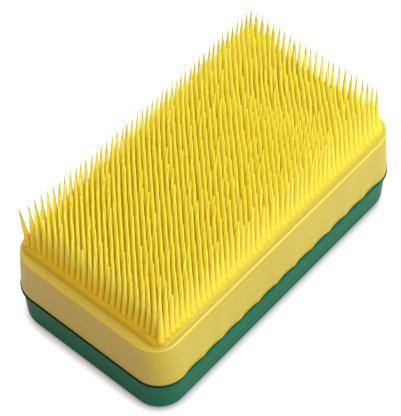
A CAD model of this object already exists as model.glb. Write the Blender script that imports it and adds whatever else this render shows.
import math
import random

import bmesh
import bpy
from mathutils import Matrix, Vector


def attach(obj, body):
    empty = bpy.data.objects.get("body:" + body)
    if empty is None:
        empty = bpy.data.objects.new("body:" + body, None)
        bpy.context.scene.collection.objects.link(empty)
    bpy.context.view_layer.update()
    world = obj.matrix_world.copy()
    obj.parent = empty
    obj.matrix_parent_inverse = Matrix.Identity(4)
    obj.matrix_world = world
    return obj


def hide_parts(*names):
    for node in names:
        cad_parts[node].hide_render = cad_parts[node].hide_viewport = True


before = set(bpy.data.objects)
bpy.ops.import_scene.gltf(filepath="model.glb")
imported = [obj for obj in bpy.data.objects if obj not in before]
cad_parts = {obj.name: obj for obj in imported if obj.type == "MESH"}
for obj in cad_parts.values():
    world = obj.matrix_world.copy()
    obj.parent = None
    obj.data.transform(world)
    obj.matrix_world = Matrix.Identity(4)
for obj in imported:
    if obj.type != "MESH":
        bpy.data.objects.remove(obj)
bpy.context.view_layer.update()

# A vegetable scrub brush lying on its back. A soft bristle pad, moulded in one, is capped over
# a hard moulded back. Sizes are written in millimetres and turned to metres by MM.
# +X runs along the brush, and Z is up from the surface that it lies on.
MM = 0.001

# ---------------------------------------------------------------- sizes of the brush, in mm
RIM_LENGTH, RIM_WIDTH, RIM_RADIUS = 110.0, 58.2, 8.6
FOOT_LENGTH, FOOT_WIDTH, FOOT_RADIUS = 111.0, 61.4, 9.4
FLANGE_TOP = 14.4
RIM_TOP = 31.5
PLATE_UNDERSIDE = 28.9
SKIRT_WALL = 2.0
FIELD_LENGTH, FIELD_WIDTH, FIELD_RADIUS = 103.8, 54.0, 3.0
FIELD_TOP = 32.3
FIELD_SLOPE = 0.35        # the step up to the field leans back by this much
MOUND_INSET, MOUND_HEIGHT = 2.0, 1.6   # the field rises to the roots of its outermost bristles
FOOT_LIFT = 0.35          # the outer edge of the skirt's foot stands this far off the flange

FLUTE_PITCH = 8.3
FLUTE_COUNT = 11
FLUTE_DEPTH = 0.4
FLUTE_RUN_OUT = 1.5       # the flutes end this far below the rim
FLUTE_STEPS = 8           # facets across one flute
SKIRT_CUTS = 7            # level cuts round the outside of the skirt, which the flutes need

FLANGE_LENGTH, FLANGE_WIDTH, FLANGE_RADIUS = 111.5, 61.9, 9.65
FLANGE_THICKNESS = 0.9
NOSE, GROOVE_DEPTH = 0.16, 0.5   # the flange ends in a thin nose, with a groove behind it
WALL_LENGTH, WALL_WIDTH, WALL_RADIUS = 110.3, 60.7, 9.05
BASE_LENGTH, BASE_WIDTH, BASE_RADIUS = 109.9, 59.3, 9.05
PLUG_GAP = 0.2

# rounded edges: how far the rounding reaches from the edge, and the facets across it
BASE_ROUNDING = (2.5, 8)
WALL_ROUNDING = (0.3, 3)
FLANGE_LOW_ROUNDING = (0.2, 3)
FLANGE_HIGH_ROUNDING = (0.12, 3)
FOOT_ROUNDING = (0.3, 3)
RIM_ROUNDING = (0.45, 4)
FIELD_FOOT_ROUNDING = (0.45, 3)
FIELD_EDGE_ROUNDING = (0.4, 3)
CORNER_STEPS = 14         # facets round each upright corner

BRISTLE_PITCH = 2.2
BRISTLE_COLUMNS, BRISTLE_ROWS = 46, 24
BRISTLE_SIDES = 8
BRISTLE_TIP = 17.8        # height of the point above the raised field
BRISTLE_POINT = 0.03      # radius there, before it is closed
# rings of one bristle: height above the field and radius
BRISTLE_RINGS = ((-0.4, 1.9), (0.1, 1.8), (0.8, 1.48), (1.7, 1.22), (3.0, 1.04), (5.0, 0.89),
                 (9.5, 0.66), (13.6, 0.41), (16.6, 0.22), (17.5, 0.13))
BENDS = (0.05, 0.15, 0.3, 0.5)   # how far the point of each kind of bristle is bent sideways
BEND_SHARES = (4, 4, 2, 1)       # how common each kind is
BENT_ABOVE = 1.0          # the rings higher than this take part in the bend
LEAN_SPREAD = 0.09        # standard deviation of each bristle's own lean at its point
BRISTLE_SEED = 11

# edges that meet at less than these angles, in degrees, are shaded as one surface
BACK_SMOOTH, PAD_SMOOTH, BRISTLE_SMOOTH = 30, 50, 60

# ---------------------------------------------------------------- matching of places, in mm
SAME = 0.02               # places nearer than this count as the same
SAME_OUTLINE = 0.05       # and so for the distance from an outline, when its ring is rounded
SAME_ROW = 0.001          # heights of the rows of vertices on the fluted sides
SAME_RING = 0.01          # rings of a bristle, and steps across a flute
HELD_APART = 10           # outlines closer in height than LEVEL are held this far apart for a while
LEVEL = 1

# ---------------------------------------------------------------- patterns, in patches per metre
TPE_DRIFT, TPE_GRAIN = 40.0, 2800.0    # 25 mm and 0.36 mm
PP_DRIFT, PP_GRAIN = 55.0, 2500.0      # 18 mm and 0.4 mm
GRAIN_RELIEF = 0.03       # height of both grains, in mm

# ---------------------------------------------------------------- camera, floor and lamps
CAMERA_DISTANCE, CAMERA_LEFT, CAMERA_UP = 558.44, 2.444, 12.749   # mm
CAMERA_SENSOR, CAMERA_LENS = 36.0, 155.61
CAMERA_NEAR, CAMERA_FAR = 0.01, 20.0   # metres
FLOOR_SIZE, FLOOR_DROP = 6.0, 0.0002   # metres; the floor lies a hair under the brush
CONTACT_SHADE = 3.5       # the board darkens this near to what stands on it, in mm
LAMP_DISTANCE = 2.0       # metres


# ---------------------------------------------------------------- colours
def srgb(code):
    """Linear colour of an sRGB hex value."""
    parts = [int(code[i:i + 2], 16) / 255 for i in (1, 3, 5)]
    return [c / 12.92 if c <= 0.04045 else ((c + 0.055) / 1.055) ** 2.4 for c in parts] + [1.0]


# ---------------------------------------------------------------- materials
def add_node(tree, kind, values=(), links=(), **settings):
    """Adds one shader node, sets its sockets by name or number, and links other outputs to it."""
    made = tree.nodes.new(kind)
    for name, value in settings.items():
        setattr(made, name, value)
    for socket, value in dict(values).items():
        made.inputs[socket].default_value = value
    for socket, source in dict(links).items():
        tree.links.new(source, made.inputs[socket])
    return made


def new_material(name):
    material = bpy.data.materials.new(name)
    material.use_nodes = True
    material.node_tree.nodes.clear()
    return material, material.node_tree


def moulded_soft_tpe():
    """Thermoplastic elastomer, injection moulded: a soft satin skin that lets a little light in,
    so that shaded sides turn a deeper, warmer yellow."""
    material, tree = new_material("moulded_soft_tpe")
    place = add_node(tree, "ShaderNodeTexCoord")
    # slow drift of the colour, from the way the melt filled the mould
    drift = add_node(tree, "ShaderNodeTexNoise", {"Scale": TPE_DRIFT, "Detail": 2.0},
                     {"Vector": place.outputs["Object"]})
    tint = add_node(tree, "ShaderNodeValToRGB", links={0: drift.outputs["Fac"]})
    for stop, (at, code) in zip(tint.color_ramp.elements, ((0.3, "#C9B83B"), (0.7, "#CFBF42"))):
        stop.position, stop.color = at, srgb(code)
    # skin of the spark-eroded mould, drawn twice as coarse as the real one so that it shows
    grain = add_node(tree, "ShaderNodeTexNoise",
                     {"Scale": TPE_GRAIN, "Detail": 3.0, "Roughness": 0.6},
                     {"Vector": place.outputs["Object"]})
    gloss = add_node(tree, "ShaderNodeMapRange", {"To Min": 0.26, "To Max": 0.38},
                     {"Value": grain.outputs["Fac"]})
    relief = add_node(tree, "ShaderNodeBump", {"Strength": 0.35, "Distance": GRAIN_RELIEF * MM},
                      {"Height": grain.outputs["Fac"]})

    # zones of the pad: each is 0 before the first place along its axis, and 1 past the second
    where = add_node(tree, "ShaderNodeSeparateXYZ", links={0: place.outputs["Object"]})
    zone = {}
    for name, axis, first, second in (
            ("rim", "Z", RIM_TOP - 0.5, RIM_TOP - 0.25),
            ("ledge", "Z", RIM_TOP - 0.15, RIM_TOP - 0.02),
            ("above_ledge", "Z", RIM_TOP + 0.1, RIM_TOP + 0.6),
            ("field", "Z", RIM_TOP + 0.1, RIM_TOP + 0.7),
            ("bristles", "Z", RIM_TOP + 0.9, RIM_TOP + 2.4),
            ("towards_roots", "Z", RIM_TOP + 11, RIM_TOP + 1),
            ("towards_middle", "Z", RIM_TOP + 2, RIM_TOP + 11),
            ("slender", "Z", RIM_TOP + 3, RIM_TOP + 8),
            ("upper_half", "Z", RIM_TOP + 8, RIM_TOP + 15),
            ("points", "Z", RIM_TOP + 15.2, RIM_TOP + 18.6),
            ("low_end", "X", -38, -54),
            ("off_low_end", "X", -54.8, -51),
            ("last_column", "X", 47.4, 49),
            ("last_row", "Y", 23.2, 24.8)):
        spread = add_node(tree, "ShaderNodeMapRange",
                          {"From Min": first * MM, "From Max": second * MM},
                          {"Value": where.outputs[axis]})
        zone[name] = spread.outputs["Result"]
    for name, first, second, operation in (
            ("rubbed_rim", "rim", "off_low_end", "MULTIPLY"),
            ("outermost", "last_column", "last_row", "MAXIMUM"),
            ("worn", "upper_half", "outermost", "MULTIPLY"),
            ("low_roots", "low_end", "towards_roots", "MULTIPLY"),
            ("dense", "low_roots", "above_ledge", "MULTIPLY")):
        both = add_node(tree, "ShaderNodeMath", links={0: zone[first], 1: zone[second]},
                        operation=operation)
        zone[name] = both.outputs[0]

    # Tones, each mixed from two others by a zone. The rim is rubbed pale everywhere but at the
    # -X end. The bristles are lemon, frosted at their points, and the outermost row along +X and
    # +Y is worn dull. Between the roots at the -X end the pigment lies denser and turns golden.
    tone = {"melt": tint.outputs["Color"]}
    for name, by, first, second in (
            ("wall", "rubbed_rim", "melt", "#DED15A"),
            ("top", "low_end", "#BCAA32", "#B8A124"),
            ("wall_and_top", "ledge", "wall", "top"),
            ("body", "field", "wall_and_top", "#DCC93A"),
            ("shaft", "towards_middle", "#FFE340", "#FFED58"),
            ("frosted", "points", "shaft", "#F2E87C"),
            ("bristle", "worn", "frosted", "#AFB662"),
            ("plain", "bristles", "body", "bristle"),
            ("golden", "bristles", "#C2A51C", "#F4CA18"),
            ("pad", "dense", "plain", "golden")):
        ends = {6: first, 7: second}
        fixed = {socket: srgb(end) for socket, end in ends.items() if end.startswith("#")}
        mixed = {socket: tone[end] for socket, end in ends.items() if end in tone}
        mix = add_node(tree, "ShaderNodeMix", fixed, {0: zone[by], **mixed}, data_type="RGBA")
        tone[name] = mix.outputs[2]

    # the slender bristles pass light on far more than the thick walls do
    share = add_node(tree, "ShaderNodeMapRange", {"To Min": 0.65, "To Max": 1.0},
                     {"Value": zone["bristles"]})
    depth = add_node(tree, "ShaderNodeMapRange", {"To Min": 0.001, "To Max": 0.0034},
                     {"Value": zone["slender"]})
    skin = add_node(tree, "ShaderNodeBsdfPrincipled",
                    {"IOR": 1.48, "Specular IOR Level": 0.42,
                     "Subsurface Radius": (1.0, 0.75, 0.35)},
                    {"Base Color": tone["pad"], "Roughness": gloss.outputs["Result"],
                     "Normal": relief.outputs["Normal"],
                     "Subsurface Weight": share.outputs["Result"],
                     "Subsurface Scale": depth.outputs["Result"]})
    add_node(tree, "ShaderNodeOutputMaterial", links={"Surface": skin.outputs[0]})
    return material


def moulded_polypropylene():
    """Polypropylene, injection moulded: hard, a deep green with a waxy satin sheen."""
    material, tree = new_material("moulded_polypropylene")
    place = add_node(tree, "ShaderNodeTexCoord")
    drift = add_node(tree, "ShaderNodeTexNoise", {"Scale": PP_DRIFT, "Detail": 2.0},
                     {"Vector": place.outputs["Object"]})
    tint = add_node(tree, "ShaderNodeValToRGB", links={0: drift.outputs["Fac"]})
    for stop, (at, code) in zip(tint.color_ramp.elements, ((0.3, "#107051"), (0.7, "#147658"))):
        stop.position, stop.color = at, srgb(code)
    # dark grime along the joint with the pad, at the -X end
    where = add_node(tree, "ShaderNodeSeparateXYZ", links={0: place.outputs["Object"]})
    zone = {}
    for name, axis, first, second in (("joint", "Z", FLANGE_TOP - 0.45, FLANGE_TOP - 0.2),
                                      ("low_end", "X", -45, -53)):
        spread = add_node(tree, "ShaderNodeMapRange",
                          {"From Min": first * MM, "From Max": second * MM},
                          {"Value": where.outputs[axis]})
        zone[name] = spread.outputs["Result"]
    grime = add_node(tree, "ShaderNodeMath", links={0: zone["joint"], 1: zone["low_end"]},
                     operation="MULTIPLY")
    tone = add_node(tree, "ShaderNodeMix", {7: srgb("#04140C")},
                    {0: grime.outputs[0], 6: tint.outputs["Color"]}, data_type="RGBA")
    # fine matt mould texture
    grain = add_node(tree, "ShaderNodeTexNoise",
                     {"Scale": PP_GRAIN, "Detail": 3.0, "Roughness": 0.6},
                     {"Vector": place.outputs["Object"]})
    gloss = add_node(tree, "ShaderNodeMapRange", {"To Min": 0.36, "To Max": 0.48},
                     {"Value": grain.outputs["Fac"]})
    relief = add_node(tree, "ShaderNodeBump", {"Strength": 0.3, "Distance": GRAIN_RELIEF * MM},
                      {"Height": grain.outputs["Fac"]})
    skin = add_node(tree, "ShaderNodeBsdfPrincipled", {"IOR": 1.49, "Specular IOR Level": 0.08},
                    {"Base Color": tone.outputs[2], "Roughness": gloss.outputs["Result"],
                     "Normal": relief.outputs["Normal"]})
    add_node(tree, "ShaderNodeOutputMaterial", links={"Surface": skin.outputs[0]})
    return material


def seen_rays(tree, camera, mirror):
    """The first value for rays from the camera, the second for rays off or through a glossy
    thing, and 0 for rays that light the brush."""
    ray = add_node(tree, "ShaderNodeLightPath")
    either = add_node(tree, "ShaderNodeMath",
                      links={0: ray.outputs["Is Glossy Ray"],
                             1: ray.outputs["Is Transmission Ray"]}, operation="MAXIMUM")
    glossy = add_node(tree, "ShaderNodeMath", {1: mirror}, {0: either.outputs[0]},
                      operation="MULTIPLY")
    seen = add_node(tree, "ShaderNodeMath", {1: camera},
                    {0: ray.outputs["Is Camera Ray"], 2: glossy.outputs[0]},
                    operation="MULTIPLY_ADD")
    return seen.outputs[0]


def white_board():
    """Smooth white board, lifted where it is seen, so that it reads as white and still takes a
    soft shadow. It darkens close to what stands on it."""
    material, tree = new_material("white_board")
    near = add_node(tree, "ShaderNodeAmbientOcclusion", {"Distance": CONTACT_SHADE * MM})
    tone = add_node(tree, "ShaderNodeMix", {6: srgb("#000000"), 7: srgb("#BCB2B8")},
                    {0: near.outputs["AO"]}, data_type="RGBA")
    board = add_node(tree, "ShaderNodeBsdfDiffuse", links={"Color": tone.outputs[2]})
    strength = add_node(tree, "ShaderNodeMath",
                        links={0: seen_rays(tree, camera=0.9, mirror=0.1), 1: near.outputs["AO"]},
                        operation="MULTIPLY")
    lift = add_node(tree, "ShaderNodeEmission", {"Color": srgb("#FFFFFF")},
                    {"Strength": strength.outputs[0]})
    both = add_node(tree, "ShaderNodeAddShader", links={0: board.outputs[0], 1: lift.outputs[0]})
    add_node(tree, "ShaderNodeOutputMaterial", links={"Surface": both.outputs[0]})
    return material


# ---------------------------------------------------------------- modelling tools
def start_fresh():
    """Leaves edit mode and deselects everything."""
    if bpy.context.object and bpy.context.object.mode != "OBJECT":
        bpy.ops.object.mode_set(mode="OBJECT")
    bpy.ops.object.select_all(action="DESELECT")


def work_on(piece):
    """Makes this the only piece that is selected, and the active one."""
    start_fresh()
    piece.select_set(True)
    bpy.context.view_layer.objects.active = piece


def pick(test):
    """Selects the vertices of the piece being edited whose place, in mm, passes the test."""
    shape = bmesh.from_edit_mesh(bpy.context.object.data)
    bpy.context.tool_settings.mesh_select_mode = (True, False, False)
    for v in shape.verts:
        v.select = test(v.co / MM)
    shape.select_flush_mode()
    bmesh.update_edit_mesh(bpy.context.object.data)


def add_outline(length, width, radius, height):
    """A level loop of edges in the shape of a rectangle with round corners."""
    start_fresh()
    bpy.ops.mesh.primitive_plane_add(size=MM, location=(0, 0, height * MM))
    bpy.ops.object.mode_set(mode="EDIT")
    bpy.ops.transform.resize(value=(length, width, 1))
    bpy.ops.mesh.bevel(affect="VERTICES", offset=radius * MM, segments=CORNER_STEPS, profile=0.5)
    bpy.ops.mesh.delete(type="ONLY_FACE")
    bpy.ops.object.mode_set(mode="OBJECT")
    bpy.ops.object.transform_apply()
    return bpy.context.object


def loft(name, outlines, cuts=()):
    """A closed skin through a stack of outlines, each given as its length, width, corner radius
    and height. cuts says how many level cuts a stretch between two of them has, by its number."""
    piece = add_outline(*outlines[0])
    piece.name = piece.data.name = name
    bpy.ops.object.mode_set(mode="EDIT")
    bpy.ops.mesh.select_all(action="SELECT")
    bpy.ops.mesh.edge_face_add()
    bpy.ops.object.mode_set(mode="OBJECT")
    for number, (below, above) in enumerate(zip(outlines, outlines[1:])):
        # two outlines at one height are held apart while the skin between them is laid
        apart = HELD_APART if abs(above[3] - below[3]) < LEVEL else 0
        held = above[:3] + (above[3] + apart,)
        ring = add_outline(*held)
        start_fresh()
        ring.select_set(True)
        piece.select_set(True)
        bpy.context.view_layer.objects.active = piece
        bpy.ops.object.join()
        bpy.ops.object.mode_set(mode="EDIT")
        pick_rings(below, held)
        bpy.ops.mesh.bridge_edge_loops(number_cuts=dict(cuts).get(number, 0),
                                       interpolation="LINEAR")
        pick_rings(held)
        bpy.ops.transform.translate(value=(0, 0, -apart * MM))
        bpy.ops.object.mode_set(mode="OBJECT")
    bpy.ops.object.mode_set(mode="EDIT")
    pick_rings(outlines[-1])
    bpy.ops.mesh.edge_face_add()
    bpy.ops.mesh.select_all(action="SELECT")
    bpy.ops.mesh.normals_make_consistent(inside=False)
    if bmesh.from_edit_mesh(piece.data).calc_volume(signed=True) < 0:
        bpy.ops.mesh.flip_normals()
    bpy.ops.object.mode_set(mode="OBJECT")
    return piece


def pick_rings(*outlines):
    """Selects the edges that still lie open along any of these outlines."""
    shape = bmesh.from_edit_mesh(bpy.context.object.data)
    bpy.context.tool_settings.mesh_select_mode = (False, True, False)
    for e in shape.edges:
        e.select = len(e.link_faces) < 2 and any(
            all(abs(v.co.z / MM - height) < SAME
                and abs(off_outline(v.co / MM, length, width, radius)) < SAME for v in e.verts)
            for length, width, radius, height in outlines)
    bmesh.update_edit_mesh(bpy.context.object.data)


def off_outline(p, length, width, radius):
    """How far, in mm, a point lies outside a rectangle with round corners, seen from above."""
    past_x = max(abs(p.x) - length / 2 + radius, 0)
    past_y = max(abs(p.y) - width / 2 + radius, 0)
    return math.hypot(past_x, past_y) - radius


def round_ring(piece, outline, rounding):
    """Rounds the ring of edges that one outline of the loft became."""
    length, width, radius, height = outline
    size, steps = rounding
    work_on(piece)
    bpy.ops.object.mode_set(mode="EDIT")
    pick(lambda p: abs(p.z - height) < SAME
         and abs(off_outline(p, length, width, radius)) < SAME_OUTLINE)
    bpy.ops.mesh.bevel(offset=size * MM, segments=steps, profile=0.5, affect="EDGES")
    bpy.ops.object.mode_set(mode="OBJECT")


def finish_piece(piece, material, node, smooth_deg):
    """Shades a piece, gives it its material, and says which CAD node it stands for."""
    work_on(piece)
    bpy.ops.object.shade_smooth_by_angle(angle=math.radians(smooth_deg))
    piece.data.materials.clear()
    piece.data.materials.append(material)
    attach(piece, "root")
    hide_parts(node)


# ---------------------------------------------------------------- camera, made first
def view_axes(azimuth, elevation, roll):
    """Right, up and backward directions of something that faces the brush. Azimuth 0 looks
    along +Y, from the -Y side."""
    a, e, r = (math.radians(angle) for angle in (azimuth, elevation, roll))
    back = Vector((math.sin(a) * math.cos(e), -math.cos(a) * math.cos(e), math.sin(e)))
    level = Vector((math.cos(a), math.sin(a), 0))
    above = back.cross(level)
    return (level * math.cos(r) + above * math.sin(r),
            above * math.cos(r) - level * math.sin(r), back)


def place_camera():
    right, up, back = view_axes(azimuth=-48.09, elevation=53.36, roll=-1.354)
    bpy.ops.object.camera_add()
    camera = bpy.context.object
    camera.name = "camera"
    place = (back * CAMERA_DISTANCE - right * CAMERA_LEFT + up * CAMERA_UP) * MM
    turn = Matrix((right, up, back)).transposed().to_4x4()
    camera.matrix_world = Matrix.Translation(place) @ turn
    camera.data.sensor_width = CAMERA_SENSOR
    camera.data.lens = CAMERA_LENS
    camera.data.clip_start, camera.data.clip_end = CAMERA_NEAR, CAMERA_FAR
    bpy.context.scene.camera = camera


# ---------------------------------------------------------------- the back
def make_back():
    under = FLANGE_TOP - FLANGE_THICKNESS
    plug = 2 * (SKIRT_WALL + PLUG_GAP)
    base = (BASE_LENGTH, BASE_WIDTH, BASE_RADIUS, 0)
    wall_top = (WALL_LENGTH, WALL_WIDTH, WALL_RADIUS, under)
    flange_low = (FLANGE_LENGTH, FLANGE_WIDTH, FLANGE_RADIUS, under)
    flange_high = (FLANGE_LENGTH, FLANGE_WIDTH, FLANGE_RADIUS, FLANGE_TOP)
    behind_nose = (FLANGE_LENGTH - 2 * NOSE, FLANGE_WIDTH - 2 * NOSE, FLANGE_RADIUS - NOSE)
    nose_top, groove = behind_nose + (FLANGE_TOP,), behind_nose + (FLANGE_TOP - GROOVE_DEPTH,)
    plug_foot = (FOOT_LENGTH - plug, FOOT_WIDTH - plug, FOOT_RADIUS - plug / 2,
                 FLANGE_TOP - GROOVE_DEPTH)
    plug_top = (RIM_LENGTH - plug, RIM_WIDTH - plug, RIM_RADIUS - plug / 2, PLATE_UNDERSIDE)
    back = loft("back_shell", [base, wall_top, flange_low, flange_high, nose_top, groove,
                               plug_foot, plug_top])
    round_ring(back, base, BASE_ROUNDING)
    round_ring(back, wall_top, WALL_ROUNDING)
    round_ring(back, flange_low, FLANGE_LOW_ROUNDING)
    round_ring(back, flange_high, FLANGE_HIGH_ROUNDING)
    finish_piece(back, moulded_polypropylene(), "back", BACK_SMOOTH)


# ---------------------------------------------------------------- the pad
def press_flutes(pad):
    """Cuts each long side at every step of its flutes and presses the hollows in, deepest at the
    foot."""
    work_on(pad)
    bpy.ops.object.mode_set(mode="EDIT")
    step = FLUTE_PITCH / FLUTE_STEPS
    half = FLUTE_COUNT * FLUTE_STEPS // 2
    for k in range(-half, half + 1):
        bpy.ops.mesh.select_all(action="SELECT")
        bpy.ops.mesh.bisect(plane_co=(k * step * MM, 0, 0), plane_no=(1, 0, 0))
    run_out = RIM_TOP - FLUTE_RUN_OUT

    def on_side(p):
        return (abs(p.x) < (half + 0.5) * step and p.z < run_out
                and abs(p.y) > RIM_WIDTH / 2 - SKIRT_WALL / 2)

    shape = bmesh.from_edit_mesh(pad.data)
    rows = sorted({round(v.co.z / MM, 3) for v in shape.verts if on_side(v.co / MM)})
    for height in rows:
        depth = FLUTE_DEPTH * (run_out - height) / (run_out - FLANGE_TOP)
        for away in range(FLUTE_STEPS // 2):      # steps away from the middle of a hollow
            inward = depth * (1 - (2 * away / FLUTE_STEPS) ** 2)
            for side in (-1, 1):

                def in_hollow(p):
                    across = (p.x / step + half) % FLUTE_STEPS - FLUTE_STEPS / 2
                    return (on_side(p) and p.y * side > 0 and abs(p.z - height) < SAME_ROW
                            and abs(abs(across) - away) < SAME_RING)

                pick(in_hollow)
                bpy.ops.transform.translate(value=(0, -side * inward * MM, 0))
    bpy.ops.object.mode_set(mode="OBJECT")


def make_pad_body(material):
    inner = 2 * SKIRT_WALL
    pocket_top = (RIM_LENGTH - inner, RIM_WIDTH - inner, RIM_RADIUS - SKIRT_WALL, PLATE_UNDERSIDE)
    pocket_foot = (FOOT_LENGTH - inner, FOOT_WIDTH - inner, FOOT_RADIUS - SKIRT_WALL, FLANGE_TOP)
    foot = (FOOT_LENGTH, FOOT_WIDTH, FOOT_RADIUS, FLANGE_TOP + FOOT_LIFT)
    rim = (RIM_LENGTH, RIM_WIDTH, RIM_RADIUS, RIM_TOP)
    field_foot = (FIELD_LENGTH + 2 * FIELD_SLOPE, FIELD_WIDTH + 2 * FIELD_SLOPE,
                  FIELD_RADIUS + FIELD_SLOPE, RIM_TOP)
    field_edge = (FIELD_LENGTH, FIELD_WIDTH, FIELD_RADIUS, FIELD_TOP)
    mound_top = (FIELD_LENGTH - 2 * MOUND_INSET, FIELD_WIDTH - 2 * MOUND_INSET,
                 FIELD_RADIUS - MOUND_INSET, FIELD_TOP + MOUND_HEIGHT)
    outlines = [pocket_top, pocket_foot, foot, rim, field_foot, field_edge, mound_top]
    pad = loft("pad_body", outlines, cuts={outlines.index(foot): SKIRT_CUTS})
    round_ring(pad, foot, FOOT_ROUNDING)
    round_ring(pad, rim, RIM_ROUNDING)
    round_ring(pad, field_foot, FIELD_FOOT_ROUNDING)
    round_ring(pad, field_edge, FIELD_EDGE_ROUNDING)
    press_flutes(pad)
    finish_piece(pad, material, "bristle_pad", PAD_SMOOTH)


def make_bristle(bend):
    """One bristle: a round taper with a spread root. bend moves its point sideways, more and more
    towards the top."""
    start_fresh()
    height, radius = BRISTLE_RINGS[0]
    bpy.ops.mesh.primitive_circle_add(vertices=BRISTLE_SIDES, radius=radius * MM,
                                      fill_type="NGON", location=(0, 0, height * MM))
    bpy.ops.object.transform_apply()
    bpy.ops.object.mode_set(mode="EDIT")
    bpy.context.tool_settings.mesh_select_mode = (False, False, True)
    bpy.ops.mesh.select_all(action="SELECT")
    for next_height, next_radius in BRISTLE_RINGS[1:] + ((BRISTLE_TIP, BRISTLE_POINT),):
        bpy.ops.mesh.extrude_region_move(
            TRANSFORM_OT_translate={"value": (0, 0, (next_height - height) * MM)})
        narrower = next_radius / radius
        bpy.ops.transform.resize(value=(narrower, narrower, 1), center_override=(0, 0, 0))
        height, radius = next_height, next_radius
    bpy.ops.mesh.merge(type="CENTER")
    for ring in [h for h, _ in BRISTLE_RINGS if h > BENT_ABOVE] + [BRISTLE_TIP]:
        pick(lambda p: abs(p.z - ring) < SAME_RING)
        bpy.ops.transform.translate(value=(bend * (ring / BRISTLE_TIP) ** 2 * MM, 0, 0))
    bpy.ops.mesh.select_all(action="SELECT")
    bpy.ops.mesh.normals_make_consistent(inside=False)
    bpy.ops.object.mode_set(mode="OBJECT")
    bpy.ops.object.shade_smooth()
    return bpy.context.object


def ease(value, start, end):
    """0 up to start, 1 from end on, and a soft step between."""
    t = min(max((value - start) / (end - start), 0), 1)
    return t * t * (3 - 2 * t)


def lean_of(x, y):
    """How far, in mm, the points of the bristles round one place lean along X and Y. Most of the
    field leans a little towards +X and -Y. Near the +X end the bristles turn towards +Y, and the
    ones at the corners stand out."""
    left = 1 - ease(x - y, -25, 0)                             # the half towards -X and +Y
    start = ease(-x, 38, 48)                                   # the columns at the -X end
    near_end = ease(x, 18, 34) * (1 - ease(y, 0, 14))          # the +X end, on the -Y side
    far_end = ease(x, 18, 36) * ease(y, 8, 22)                 # the +X end, on the +Y side
    far_rows = ease(y, 12, 24)                                 # the rows along the +Y side
    middle = 0.4 * ease(x, -40, -20) * (1 - ease(x, 22, 30))   # all but the two ends
    last = ease(x, 46, 49)                                     # the last column, at the +X end
    corner = ease(x, 44, 49.5) * ease(-y, 19, 25.3)            # the corner at +X and -Y
    first = ease(-x, 47.5, 49.5) * ease(y, 23, 25.3)           # the very corner at -X and +Y
    lean_x = (0.3 + 0.3 * left + 0.2 * start * (1 - 3.5 * far_rows) - 0.2 * near_end + far_end
              + 0.5 * last * (1 - far_end))
    lean_y = (-0.4 - 0.2 * left + 1.6 * near_end + 0.6 * far_end - 0.7 * last * near_end
              + far_rows * (start - middle))
    return lean_x - 0.2 * corner - 0.8 * first, lean_y + 1.6 * corner + 1.2 * first


def make_bristles(material):
    """All the bristles: each is a copy of one of a few shapes, turned at random and leaned."""
    shapes = [make_bristle(bend) for bend in BENDS]
    draw = random.Random(BRISTLE_SEED)
    copies = []
    for column in range(BRISTLE_COLUMNS):
        for row in range(BRISTLE_ROWS):
            x = (column - (BRISTLE_COLUMNS - 1) / 2) * BRISTLE_PITCH
            y = (row - (BRISTLE_ROWS - 1) / 2) * BRISTLE_PITCH
            shape = draw.choices(shapes, weights=BEND_SHARES)[0]
            lean_x, lean_y = lean_of(x, y)
            lean_x += draw.gauss(0, LEAN_SPREAD)
            lean_y += draw.gauss(0, LEAN_SPREAD)
            lean = Matrix.Identity(4)
            lean[0][2], lean[1][2] = lean_x / BRISTLE_TIP, lean_y / BRISTLE_TIP
            copy = bpy.data.objects.new("bristle", shape.data.copy())
            copy.data.transform(Matrix.Translation(Vector((x, y, FIELD_TOP)) * MM) @ lean
                                @ Matrix.Rotation(draw.uniform(0, math.tau), 4, "Z"))
            bpy.context.collection.objects.link(copy)
            copies.append(copy)
    start_fresh()
    for shape in shapes:
        shape.select_set(True)
    bpy.ops.object.delete()
    for copy in copies:
        copy.select_set(True)
    bristles = bpy.context.view_layer.objects.active = copies[0]
    bpy.ops.object.join()
    bristles.name = bristles.data.name = "bristles"
    finish_piece(bristles, material, "bristle_pad", BRISTLE_SMOOTH)


# ---------------------------------------------------------------- floor, light and air
def make_floor():
    start_fresh()
    bpy.ops.mesh.primitive_plane_add(size=FLOOR_SIZE, location=(0, 0, -FLOOR_DROP))
    floor = bpy.context.object
    floor.name = "floor"
    floor.data.materials.append(white_board())


def add_lamp(name, azimuth, elevation, size, power, colour="#FFFFFF"):
    """A square soft lamp that faces the brush."""
    _, _, back = view_axes(azimuth, elevation, roll=0)
    bpy.ops.object.light_add(type="AREA", location=back * LAMP_DISTANCE)
    lamp = bpy.context.object
    lamp.name = name
    lamp.rotation_mode = "QUATERNION"
    lamp.rotation_quaternion = back.to_track_quat("Z", "Y")
    lamp.data.size, lamp.data.energy = size, power
    lamp.data.color = srgb(colour)[:3]


def light_scene():
    """A warm dim air all round that is seen as white, and three lamps."""
    world = bpy.context.scene.world = bpy.data.worlds.new("studio")
    world.use_nodes = True
    tree = world.node_tree
    tree.nodes.clear()
    air = add_node(tree, "ShaderNodeBackground", {"Color": srgb("#FFDA9C"), "Strength": 0.34})
    seen = add_node(tree, "ShaderNodeBackground", {"Color": srgb("#FFFFFF"), "Strength": 1.0})
    both = add_node(tree, "ShaderNodeMixShader",
                    links={0: seen_rays(tree, camera=1.0, mirror=0.2),
                           1: air.outputs[0], 2: seen.outputs[0]})
    add_node(tree, "ShaderNodeOutputWorld", links={"Surface": both.outputs[0]})
    add_lamp("key_lamp", azimuth=16, elevation=46, size=1.7, power=43, colour="#EAF1FF")
    add_lamp("back_lamp", azimuth=143, elevation=44, size=2.6, power=39)
    add_lamp("top_lamp", azimuth=0, elevation=80, size=1.4, power=16)
    bpy.context.scene.view_settings.view_transform = "Standard"


place_camera()
make_back()
tpe = moulded_soft_tpe()
make_pad_body(tpe)
make_bristles(tpe)
make_floor()
light_scene()
